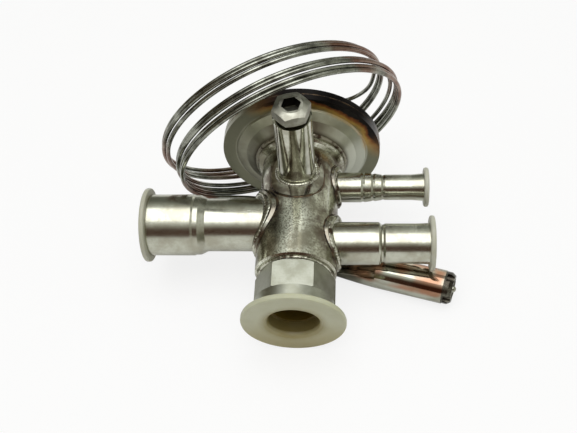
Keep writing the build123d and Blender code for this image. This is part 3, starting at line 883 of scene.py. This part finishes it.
@dataclass
class Studio:
    """Camera, lights, surrounding brightness and the pale table."""

    camera_place: Triple = (19.84 * MM, -170.33 * MM, 195.3 * MM)
    camera_aim: Triple = (-2.27 * MM, 19.69 * MM, 0.0)
    camera_roll: float = math.radians(-4.82)
    lens: float = 53.73
    boxes: tuple[SoftBox, ...] = (
        SoftBox("overhead_box", (-0.03, -0.09, 0.62), (0.0, 0.0, 0.02), 0.56, 2.1),
    )
    # the room's brightness by the angle from the front horizon over the top to the back one
    bands: tuple[tuple[float, Colour], ...] = (
        (0.0, (0.16, 0.10, 0.07)), (8.0, (0.085, 0.042, 0.028)), (30.0, (0.085, 0.045, 0.03)),
        (42.0, (0.40, 0.38, 0.33)), (54.0, (0.85, 0.86, 0.84)), (104.0, (0.85, 0.86, 0.84)),
        (118.0, (0.60, 0.61, 0.56)), (132.0, (0.32, 0.33, 0.29)), (146.0, (0.14, 0.145, 0.12)),
        (180.0, (0.15, 0.155, 0.13)))
    # a side wall's colour, and where it sets in and is full along X of the looked-at direction
    walls: tuple[tuple[Colour, float, float], ...] = (
        ((0.16, 0.14, 0.10), -0.45, -0.85), ((0.52, 0.52, 0.45), 0.35, 0.8))
    # a tall window behind the valve: its middle and half width along X, and where it starts along Y
    window_place: Range = (0.156, 0.05)
    window_from: float = 0.3
    window_colour: Colour = (1.4, 1.42, 1.34)
    background: Colour = (1.0, 1.0, 1.0)
    table_size: float = 6.0
    table_level: float = -0.02 * MM
    table_tone: Colour = (0.86, 0.86, 0.86)
    table_grain_tone: Colour = (0.89, 0.89, 0.89)
    table_grain: Cloud = Cloud(60.0)
    table_roughness: float = 0.6
    table_specular: float = 0.2
    # how much of the table's own white the camera sees, and how much of that the metal mirrors
    table_glow: float = 0.82
    table_mirrored: float = 0.25

    def build_camera(self) -> None:
        """Add the camera and make it the scene's."""
        camera = bpy.data.cameras.new("camera")
        camera.lens = self.lens
        camera.sensor_width = 36.0
        camera.clip_start = 0.01
        holder = bpy.data.objects.new("camera", camera)
        look = Vector(self.camera_aim) - Vector(self.camera_place)
        turn = look.to_track_quat("-Z", "Y") @ Quaternion(Z_AXIS, self.camera_roll)
        holder.location = self.camera_place
        holder.rotation_euler = turn.to_euler()
        bpy.context.scene.collection.objects.link(holder)
        bpy.context.scene.camera = holder

    def brightness(self, nodes: Nodes) -> Socket:
        """The room's colour in every direction: bands, two walls and the window.

        Args:
            nodes: The world's node tree.

        Returns:
            The colour.
        """
        coordinates = nodes.node("ShaderNodeTexCoord")
        split = nodes.node("ShaderNodeSeparateXYZ")
        nodes.feed(split.inputs[0], coordinates.outputs["Generated"])
        right, back, up = split.outputs
        # the angle from the front horizon over the top to the back one, as a share of a half turn
        angle = nodes.math("ARCTAN2", up, nodes.math("MULTIPLY", back, -1.0))
        bands = nodes.node("ShaderNodeValToRGB")
        nodes.feed(bands.inputs[0], nodes.math("DIVIDE", angle, math.pi))
        ramp = bands.color_ramp
        first, last = ramp.elements[0], ramp.elements[1]
        first.position, first.color = 0.0, (*self.bands[0][1], 1.0)
        last.position, last.color = 1.0, (*self.bands[-1][1], 1.0)
        for degrees, colour in self.bands[1:-1]:
            ramp.elements.new(degrees / 180.0).color = (*colour, 1.0)
        room = bands.outputs[0]
        for colour, start, full in self.walls:
            room = nodes.blend(nodes.span(right, start, full), room, colour)
        pane = nodes.math("MULTIPLY", nodes.math("COMPARE", right, *self.window_place),
                          nodes.math("GREATER_THAN", back, self.window_from))
        return nodes.blend(pane, room, self.window_colour)

    def build_world(self) -> None:
        """White behind the valve for the camera, and a room of light and dark that the metal mirrors."""
        world = bpy.data.worlds.new("room")
        bpy.context.scene.world = world
        world.use_nodes = True
        world.node_tree.nodes.clear()
        nodes = Nodes(world.node_tree)
        seen = nodes.node("ShaderNodeBackground")
        nodes.feed(seen.inputs["Color"], self.background)
        room = nodes.node("ShaderNodeBackground")
        nodes.feed(room.inputs["Color"], self.brightness(nodes))
        choice = nodes.node("ShaderNodeMixShader")
        ray = nodes.node("ShaderNodeLightPath")
        for socket, output in zip(choice.inputs,
                                  (ray.outputs["Is Camera Ray"], room.outputs[0], seen.outputs[0])):
            nodes.feed(socket, output)
        nodes.feed(nodes.node("ShaderNodeOutputWorld").inputs[0], choice.outputs[0])

    def build_table(self) -> None:
        """A pale table that keeps the valve's shadow and fades to white."""
        Bench.clear()
        bpy.ops.mesh.primitive_plane_add(size=self.table_size, location=(0.0, 0.0, self.table_level))
        table = bpy.context.object
        table.name = "table"
        recipe = Recipe("table_white")
        grain = recipe.noise(recipe.place(), self.table_grain)
        recipe.coat(recipe.blend(grain, self.table_tone, self.table_grain_tone), self.table_roughness)
        recipe.shader.inputs["Specular IOR Level"].default_value = self.table_specular
        glow = recipe.node("ShaderNodeEmission")
        glow.inputs["Strength"].default_value = 1.0
        ray = recipe.node("ShaderNodeLightPath")
        mirrored = recipe.math("MULTIPLY", ray.outputs["Is Glossy Ray"], self.table_mirrored)
        seen = recipe.math("MAXIMUM", ray.outputs["Is Camera Ray"], mirrored)
        choice = recipe.node("ShaderNodeMixShader")
        shine = recipe.math("MULTIPLY", seen, self.table_glow)
        for socket, output in zip(choice.inputs, (shine, recipe.shader.outputs[0], glow.outputs[0])):
            recipe.feed(socket, output)
        recipe.feed(recipe.tree.nodes["Material Output"].inputs["Surface"], choice.outputs[0])
        Bench.dress(table, recipe.material)

    def build(self) -> None:
        """Set up the whole studio."""
        bpy.context.scene.view_settings.view_transform = "Standard"
        self.build_camera()
        self.build_world()
        self.build_table()
        for box in self.boxes:
            box.build()


# ---- capillary ----------------------------------------------------------------------------

@dataclass
class Capillary:
    """The thin tube from the power element to the bulb, most of it wound in a loose hoop."""

    material: Material
    radius: float = 0.65 * MM
    points_per_turn: int = 24
    exit: Triple = (2.75 * MM, 35.311 * MM, 25.004 * MM)
    # the uncoiled stretches, in millimetres
    lead: tuple[Triple, ...] = ((3.0, 40.6, 25.6), (6.4, 45.4, 25.0), (12.0, 48.4, 22.8), (17.6, 50.2, 22.6))
    tail: tuple[Triple, ...] = ((-16.0, 25.8, 2.6), (-10.2, 26.6, 0.9), (-4.6, 25.4, 0.8), (-1.2, 20.8, 0.8),
                                (-1.6, 14.6, 0.8), (-3.0, 8.4, 0.8), (-2.0, 2.8, 0.9), (2.0, -0.4, 1.6),
                                (6.895, -1.528, 1.7))
    # the hoop: centre and axis of its front turns, in millimetres
    centre: Triple = (-0.15, 21.9, 32.3)
    rise: float = math.radians(24.0)
    swing: float = math.radians(26.0)
    first_angle: float = math.radians(8.0)
    last_angle: float = math.radians(136.0)
    # for each turn from the back: distance along the axis, radius, and how it sits off centre
    turns: tuple[tuple[float, float, float, float], ...] = (
        (9.7, 33.6, -1.7, -2.6), (8.2, 34.3, -1.5, -2.2), (6.7, 33.9, -1.2, -1.8),
        (2.3, 33.4, -0.2, 0.0), (0.85, 34.2, 0.1, 0.2), (-0.6, 33.8, 0.2, 0.0), (-2.05, 34.0, 0.1, 0.2))
    # turns change places over one lap divided by this
    crossing: float = 3.0
    floor_squeeze: float = 1.0

    def axes(self) -> tuple[Vector, Vector, Vector]:
        """The hoop's own directions.

        Returns:
            Its axis, its level direction to the right and its steepest direction down.
        """
        flat = math.cos(self.rise)
        along = Vector((-flat * math.sin(self.swing), flat * math.cos(self.swing), math.sin(self.rise)))
        level = Vector((math.cos(self.swing), math.sin(self.swing), 0.0))
        return along, level, along.cross(level)

    def hoop(self) -> list[Vector]:
        """Control points of the wound stretch, from the back turn to the front one.

        Returns:
            The points in metres.
        """
        along, level, down = self.axes()
        centre = Vector(self.centre)
        sweep = self.first_angle - self.last_angle + 2 * math.pi * len(self.turns)
        count = round(sweep / (2 * math.pi) * self.points_per_turn)
        # a quadratic spline runs inside its points, so they are moved out by this share
        widen = 2.0 / (1.0 + math.cos(math.pi / self.points_per_turn))
        points = []
        for step in range(count + 1):
            angle = self.first_angle - sweep * step / count
            # turns change places at the bottom of the hoop
            lap = (math.radians(90.0) - angle) / (2 * math.pi)
            index = min(int(lap + 0.5), len(self.turns) - 1)
            share = min(max((lap - index) * self.crossing + 0.5, 0.0), 1.0)
            here = self.turns[max(index - 1, 0)]
            after = self.turns[index]
            share = share * share * (3.0 - 2.0 * share)
            offset, radius, right, fall = (a + (b - a) * share for a, b in zip(here, after))
            low = max(math.sin(angle), 0.0)
            radius = radius * widen - self.floor_squeeze * low ** 4
            spot = centre + along * offset + level * (radius * math.cos(angle) + right)
            points.append((spot + down * (radius * math.sin(angle) - fall)) * MM)
        return points

    def build(self) -> Piece:
        """Returns:
            The tube's curve object.
        """
        points = [Vector(self.exit)] + [Vector(point) * MM for point in self.lead] + self.hoop()
        points += [Vector(point) * MM for point in self.tail]
        curve = bpy.data.curves.new("capillary", "CURVE")
        curve.dimensions = "3D"
        curve.bevel_depth = self.radius
        curve.bevel_resolution = 5
        curve.resolution_u = 6
        curve.use_fill_caps = True
        spline = curve.splines.new("NURBS")
        spline.points.add(len(points) - 1)
        for made, point in zip(spline.points, points):
            made.co = (*point, 1.0)
        spline.order_u = 3
        spline.use_endpoint_u = True
        tube = bpy.data.objects.new("capillary", curve)
        bpy.context.scene.collection.objects.link(tube)
        curve.materials.append(self.material)
        length = self.measure(tube)
        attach(tube, "valve")
        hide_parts("capillary_coil", "capillary_lead", "capillary_tail")
        log.info("capillary rides on valve, %.3f m long", length)
        return tube

    @staticmethod
    def measure(tube: Piece) -> float:
        """Measure a curve object's centreline.

        Args:
            tube: The curve object.

        Returns:
            Its length in metres.
        """
        depth, tube.data.bevel_depth = tube.data.bevel_depth, 0.0
        mesh = bpy.data.meshes.new_from_object(tube)
        tube.data.bevel_depth = depth
        length = sum((mesh.vertices[edge.vertices[0]].co - mesh.vertices[edge.vertices[1]].co).length
                     for edge in mesh.edges)
        bpy.data.meshes.remove(mesh)
        return round(length, 4)


# ---- welds --------------------------------------------------------------------------------

@dataclass
class Welds:
    """The beads that join the saddles, the power element and the port fitting."""

    place: ValvePlace
    bright: Material
    dull: Material
    # burnt: heat tint on the element's rim weld, and painted shade on the thin beads at the saddles' edges
    burnt: Material
    body_radius: float = 11.2 * MM
    saddle_radius: float = 11.9 * MM
    spindle_reach: float = 1.85 * MM
    sink: float = 0.15 * MM
    crevice: float = 0.3 * MM
    ripples: int = 50
    # the share by which a saddle's bead and a bead about the body swell
    saddle_swell: float = 0.12
    round_swell: float = 0.18
    segments: int = 320
    # each connection's root bead: the ring's radius and the bead's own
    roots: tuple[tuple[Port, float, float], ...] = (
        (Port.OUTLET, 8.7 * MM, 0.7 * MM), (Port.INLET, 7.1 * MM, 0.7 * MM),
        (Port.EQUALIZER, 5.3 * MM, 0.55 * MM), (Port.SPINDLE, 5.7 * MM, 0.6 * MM))

    def torus(self, radius: float, bead: float) -> Piece:
        """Add a ring about Z at the origin.

        Args:
            radius: The ring's radius at the middle of the bead.
            bead: The bead's own radius.

        Returns:
            The new object.
        """
        Bench.clear()
        bpy.ops.mesh.primitive_torus_add(major_segments=self.segments, minor_segments=12,
                                         major_radius=radius, minor_radius=bead)
        return bpy.context.object

    def ripple(self, ring: Piece, radius: float, depth: float) -> None:
        """Swell and pinch the bead as the pool of a weld leaves it.

        Args:
            ring: A torus about Z.
            radius: The radius at the middle of its bead.
            depth: The share by which the bead swells.
        """
        for vertex in ring.data.vertices:
            angle = math.atan2(vertex.co.y, vertex.co.x)
            middle = Vector((radius * math.cos(angle), radius * math.sin(angle), 0.0))
            wave = abs(math.sin(angle * self.ripples / 2 + 0.6 * math.sin(3 * angle)))
            slow = 0.12 * math.sin(5 * angle + 1.0) + 0.07 * math.sin(13 * angle + 2.0)
            vertex.co = middle + (vertex.co - middle) * (1.0 + depth * (wave - 0.5) + slow)

    def saddle(self, port: Port, name: str, radius: float, bead: float, level: float,
               material: Material, reach: float = 0.0) -> None:
        """Lay a bead round a port, on a round about the body's axis.

        Args:
            port: The connection.
            name: The bead's name.
            radius: The radius at the middle of the bead.
            bead: The bead's own radius.
            level: The radius of the round that it lies on.
            material: Its finish.
            reach: How far the ring is drawn out towards the orifice port.
        """
        ring = self.torus(radius, bead)
        self.ripple(ring, radius, self.saddle_swell)
        # Z of the ring points out of the body and Y along the body's axis
        out = Vector(port.axis)
        along = Vector(Y_AXIS)
        turn = Matrix((along.cross(out), along, out)).transposed().to_4x4()
        for vertex in ring.data.vertices:
            aside = min(abs(vertex.co.x), level * 0.999)
            vertex.co.z += math.sqrt(level ** 2 - aside ** 2) - self.sink
            if vertex.co.y < 0.0:
                vertex.co.y -= reach
        Bench.settle(ring, self.place.matrix @ Matrix.Translation(port.centre) @ turn)
        Bench.finish(ring, name, "valve", "steel", material)

    def round_body(self, name: str, level: float, radius: float, bead: float, material: Material) -> None:
        """Lay a bead round the body's own axis.

        Args:
            name: The bead's name.
            level: Where it lies along the axis.
            radius: The radius at the middle of the bead.
            bead: The bead's own radius.
            material: Its finish.
        """
        ring = self.torus(radius, bead)
        self.ripple(ring, radius, self.round_swell)
        turn = Matrix.Rotation(math.radians(-90.0), 4, "X")
        Bench.settle(ring, self.place.matrix @ Matrix.Translation((0.0, level, 0.0)) @ turn)
        Bench.finish(ring, name, "valve", "steel", material)

    def build(self) -> None:
        """Lay every bead."""
        for port, root, bead in self.roots:
            name = port.name.lower()
            self.saddle(port, name + "_root_weld", root, bead, self.saddle_radius, self.bright)
            reach = self.spindle_reach if port is Port.SPINDLE else 0.0
            # a thin dark bead at each saddle's edge: painted shade in the crevice
            self.saddle(port, name + "_edge_weld", port.saddle, self.crevice, self.body_radius, self.burnt,
                        reach)
        self.round_body("element_rim_weld", 28.5 * MM, 23.2 * MM, 0.32 * MM, self.burnt)
        self.round_body("element_neck_weld", 22.75 * MM, 12.95 * MM, 0.6 * MM, self.dull)
        self.round_body("fitting_weld", -16.95 * MM, 9.75 * MM, 0.4 * MM, self.bright)


# ---- superheat spring ---------------------------------------------------------------------

@dataclass
class SuperheatSpring:
    """The spring between its seat and the thrust pad, wound in two halves."""

    place: ValvePlace
    material: Material
    low: float
    high: float
    mean_radius: float = 4.4 * MM
    wire: float = 0.6 * MM
    turns: float = 5.0
    steps_per_turn: int = 40
    # how far each end keeps its shape, in wire radii, and how close points are one
    stiff_end: float = 2.5
    merge: float = 0.001 * MM

    @classmethod
    def from_node(cls, place: ValvePlace, node: Piece, material: Material) -> "SuperheatSpring":
        """Read where the ends are from the frame's own spring.

        Args:
            place: Where the valve lies.
            node: The frame's spring.
            material: The finish.

        Returns:
            The spring, not built yet.
        """
        back = place.matrix.inverted() @ node.matrix_world
        levels = [(back @ vertex.co).y for vertex in node.data.vertices]
        return cls(place, material, min(levels), max(levels))

    def coil(self, turns: float, height: float) -> Piece:
        """Wind wire about Z, from the origin's level up.

        Args:
            turns: How many turns.
            height: How far the wire's middle climbs.

        Returns:
            The new object.
        """
        Bench.clear()
        bpy.ops.mesh.primitive_circle_add(vertices=12, radius=self.wire, fill_type="NGON",
                                          location=(self.mean_radius, 0.0, 0.0),
                                          rotation=(math.pi / 2, 0.0, 0.0))
        bpy.ops.object.transform_apply(location=True, rotation=True, scale=True)
        wound = bpy.context.object
        screw = wound.modifiers.new("wind", "SCREW")
        screw.angle = 2 * math.pi * turns
        screw.screw_offset = height
        screw.steps = screw.render_steps = round(turns * self.steps_per_turn)
        screw.use_normal_calculate = True
        bpy.ops.object.modifier_apply(modifier=screw.name)
        return wound

    def close(self, wound: Piece) -> None:
        """Take away the faces that the winding left inside, and cap both ends of the wire.

        Args:
            wound: The wound wire.
        """
        bpy.ops.object.mode_set(mode="EDIT")
        bpy.ops.mesh.select_all(action="DESELECT")
        bpy.ops.mesh.select_mode(type="FACE")
        bpy.ops.object.mode_set(mode="OBJECT")
        for face in wound.data.polygons:
            face.select = len(face.vertices) > 4
        bpy.ops.object.mode_set(mode="EDIT")
        bpy.ops.mesh.delete(type="ONLY_FACE")
        bpy.ops.mesh.select_mode(type="EDGE")
        bpy.ops.mesh.select_non_manifold(extend=False)
        bpy.ops.mesh.fill_holes(sides=0)
        bpy.ops.mesh.select_all(action="SELECT")
        bpy.ops.mesh.remove_doubles(threshold=self.merge)
        bpy.ops.mesh.normals_make_consistent(inside=False)
        bpy.ops.object.mode_set(mode="OBJECT")

    def build(self) -> None:
        """Wind both halves and set each between its end and the middle."""
        rise = (self.high - self.low) / 2 - self.wire
        lower = self.coil(self.turns / 2, rise)
        self.close(lower)
        upper = lower.copy()
        upper.data = lower.data.copy()
        bpy.context.scene.collection.objects.link(upper)
        stand = self.place.matrix @ Matrix.Rotation(math.radians(-90.0), 4, "X")
        half_turn = Matrix.Rotation(self.turns * math.pi, 4, "Z")
        middle = (self.low + self.high) / 2
        for piece, body, level, turn, end, inward in (
                (lower, "seat", self.low + self.wire, Matrix.Identity(4), self.low, 1.0),
                (upper, "pin_assembly", middle, half_turn, self.high, -1.0)):
            name = "superheat_spring_" + ("lower" if body == "seat" else "upper")
            Bench.settle(piece, stand @ Matrix.Translation((0.0, 0.0, level)) @ turn)
            Bench.smooth(piece, name, "spring_steel", self.material)
            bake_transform(piece)
            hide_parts("superheat_spring")
            log.info("%s bends between %s and valve", name, body)


# ---- the valve's own pieces ---------------------------------------------------------------

@dataclass
class Dressing:
    """Finishes for the pieces that come with the frame."""

    place: ValvePlace
    nodes: dict[str, Piece]

    def put(self, material: Material, *names: str) -> None:
        """Dress nodes in one material.

        Args:
            material: The finish.
            names: The nodes' names.
        """
        for name in names:
            Bench.dress(self.nodes[name], material)
            log.info("%s takes %s", name, material.name)

    def body(self) -> None:
        """The body and its tubes: satin steel with heat tint beside the welds."""
        cast = SteelFinish("body_steel", self.place, tone=(0.80, 0.82, 0.70), shade=(0.30, 0.285, 0.215),
                           clouds=Cloud(120.0, 0.38, 0.64, 4.0, 0.6), speck_share=0.75, heat_share=0.8,
                           roughness=0.2, ripple_depth=0.07 * MM)
        self.put(cast.make(), "valve_body")
        satin = SteelFinish("satin_steel", self.place, tone=(0.56, 0.57, 0.485), speck_share=0.35,
                            heat_share=0.7)
        self.put(satin.make(), "outlet_tube", "inlet_tube", "equalizer_tube")
        machined = SteelFinish("machined_steel", self.place, tone=(0.44, 0.45, 0.385),
                               shade=(0.33, 0.335, 0.27), speck_share=0.25, roughness=0.36,
                               roughness_spread=0.1, line_stretch=(12.0, 1.0, 12.0))
        self.put(machined.make(), "orifice_port_fitting")

    def spindle(self) -> None:
        """The housing and what turns in it."""
        drawn = SteelFinish("drawn_steel", self.place, tone=(0.66, 0.67, 0.58), heat_share=0.7,
                            roughness=0.07, roughness_spread=0.05, ripple_depth=0.06 * MM,
                            line_stretch=(1.0, 1.0, 12.0))
        self.put(drawn.make(), "spindle_housing", "spindle_gland", "spindle_clip")
        self.put(SpindleFinish(self.place).make(), "setting_spindle")
        self.put(RubberFinish().make(), "spindle_o_ring")
        self.put(BrassFinish(self.place).make(), "setting_nut", "spring_seat", "port_screw")

    def inside(self) -> None:
        """The orifice gear and the spring."""
        hard = SteelFinish("hardened_steel", self.place, tone=(0.5, 0.5, 0.49),
                           shade=(0.38, 0.38, 0.37)).make()
        self.put(hard, "orifice_seat", "valve_cone", "push_pin", "thrust_pad", "strainer",
                 "element_diaphragm")
        SuperheatSpring.from_node(self.place, self.nodes["superheat_spring"], hard).build()

    def element(self) -> None:
        """The power element's cups."""
        self.put(ElementFinish(self.place).make(), "element_near_cup", "element_far_cup")

    def plugs(self) -> None:
        """The four transport plugs."""
        for name, port, recess in (("outlet_plug", Port.OUTLET, 7.0 * MM),
                                   ("inlet_plug", Port.INLET, 3.8 * MM),
                                   ("equalizer_plug", Port.EQUALIZER, 2.2 * MM)):
            # low is the colour of the painted shade towards the table
            plastic = PlugFinish(self.place, name + "_plastic", port.centre, port.axis, recess,
                                 tone=(0.50, 0.50, 0.42), edge=(0.45, 0.45, 0.36), low=(0.44, 0.44, 0.35))
            self.put(plastic.make(), name)
        yellowed = PlugFinish(self.place, "orifice_port_plug_plastic", (0.0, 0.0, 0.0), Y_AXIS, 6.8 * MM)
        self.put(yellowed.make(), "orifice_port_plug")

    def bulb(self) -> None:
        """The bulb, drawn bright, and its dark crimped cap."""
        self.put(BulbFinish().make(), "bulb_shell", "bulb_nipple")
        cap = SteelFinish("cap_steel", self.place, tone=(0.17, 0.165, 0.13), shade=(0.04, 0.035, 0.028),
                          speck_share=0.4, roughness=0.26)
        self.put(cap.make(), "bulb_end_cap")

    def build(self) -> None:
        """Dress every piece."""
        self.body()
        self.spindle()
        self.inside()
        self.element()
        self.plugs()
        self.bulb()


def main() -> None:
    """Build the scene in order."""
    logging.basicConfig(level=logging.INFO, format="%(message)s")
    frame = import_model()
    place = ValvePlace.from_frame(frame)
    Studio().build()
    # the capillary's red-brown tint patches are a painted reflection
    drawn = SteelFinish("capillary_steel", place, tone=(0.36, 0.37, 0.32), shade=(0.11, 0.11, 0.09),
                        speck_share=0.3, tint=(0.20, 0.07, 0.04), bloom=Cloud(36.0, 0.47, 0.6, 2.0),
                        reflection_patch_share=0.6, roughness=0.07, roughness_spread=0.04, line_stretch=(1.0, 1.0, 1.0))
    Capillary(drawn.make()).build()
    Dressing(place, frame["nodes"]).build()
    bright = WeldFinish(place).make()
    # burnt: heat tint on the rim weld, painted crevice shade on the saddles' edge beads
    burnt = WeldFinish(place, "burnt_bead", (0.16, 0.11, 0.07), (0.03, 0.025, 0.025), soot_from=0.42,
                       roughness=0.28).make()
    dull = WeldFinish(place, "dull_bead", (0.34, 0.32, 0.25), roughness=0.24).make()
    Welds(place, bright, dull, burnt).build()


if __name__ == "__main__":
    main()
